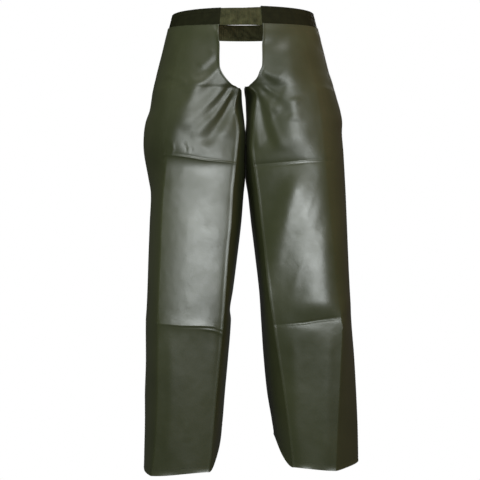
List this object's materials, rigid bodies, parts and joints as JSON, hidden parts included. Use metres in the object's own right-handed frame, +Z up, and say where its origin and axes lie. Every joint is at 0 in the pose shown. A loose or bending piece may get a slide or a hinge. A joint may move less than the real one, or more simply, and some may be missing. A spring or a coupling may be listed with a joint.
{
  "type": "vinyl chaps",
  "caption": "Seatless vinyl over-trousers in worn form: two hollow straight legs with a U-shaped open front and open seat, hung from a waistband of cloth casings on elastic webbing",
  "frame": {"origin": "Middle of the waist ring, half way up the waistband, where the wearer holds the garment up", "axes": "+Z up; -Y is the wearer's front; +X is the wearer's left side"},
  "size_m": [0.5082, 0.2495, 1.0743],
  "materials": {
    "vinyl": "coated vinyl cloth, olive, soft gloss",
    "casing": "dark olive folded cloth, matte",
    "webbing": "khaki elastic webbing, gathered, matte"
  },
  "bodies": {
    "root": {"belt_webbing": "webbing", "casing_left": "casing", "casing_right": "casing", "front_panel_left": "vinyl", "front_panel_right": "vinyl", "back_panel_left": "vinyl", "back_panel_right": "vinyl"}
  },
  "joints": []
}
